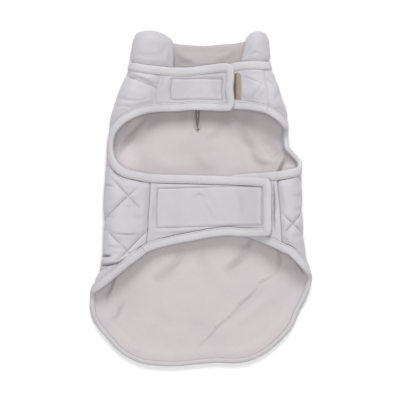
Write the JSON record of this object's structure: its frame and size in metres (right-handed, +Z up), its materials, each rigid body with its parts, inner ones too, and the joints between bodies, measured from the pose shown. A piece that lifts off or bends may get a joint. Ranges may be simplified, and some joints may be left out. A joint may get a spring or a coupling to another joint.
{
  "type": "dog winter coat",
  "caption": "Padded dog winter coat lying flat, belly side up: quilted shell, fleece lining, stand collar, bound edges, leash slit, and chest and belly straps closed with hook and loop.",
  "frame": {"origin": "under the middle of the coat as it lies, on the surface it lies on", "axes": "+Y along the back towards the collar, +Z up from the back towards the belly side, +X to the right in that view"},
  "size_m": [0.2896, 0.4363, 0.0323],
  "materials": {
    "shell": "pale lilac grey padded polyester with a soft sheen",
    "fleece": "warm pink grey short-pile fleece, matt",
    "binding": "pale grey folded binding tape with a stitched inner edge",
    "hook_tape": "pale grey woven hook tape",
    "loop_tape": "tan brushed loop tape, matt"
  },
  "bodies": {
    "root": {"back_panel": "shell", "back_lining": "fleece", "collar_shell": "shell", "collar_lining": "fleece", "chest_strap": "shell", "chest_tab": "shell", "belly_strap": "shell", "belly_tab": "shell", "chest_hook_tape": "hook_tape", "belly_hook_tape": "hook_tape", "chest_loop_tape": "loop_tape", "belly_loop_tape": "loop_tape", "leash_slit_welt": "fleece", "binding_neck_left": "binding", "binding_neck_right": "binding", "binding_leg_left": "binding", "binding_leg_right": "binding", "binding_chest_strap": "binding", "binding_chest_tab": "binding", "binding_belly_strap": "binding", "binding_belly_tab": "binding", "binding_hem": "binding"}
  },
  "joints": []
}
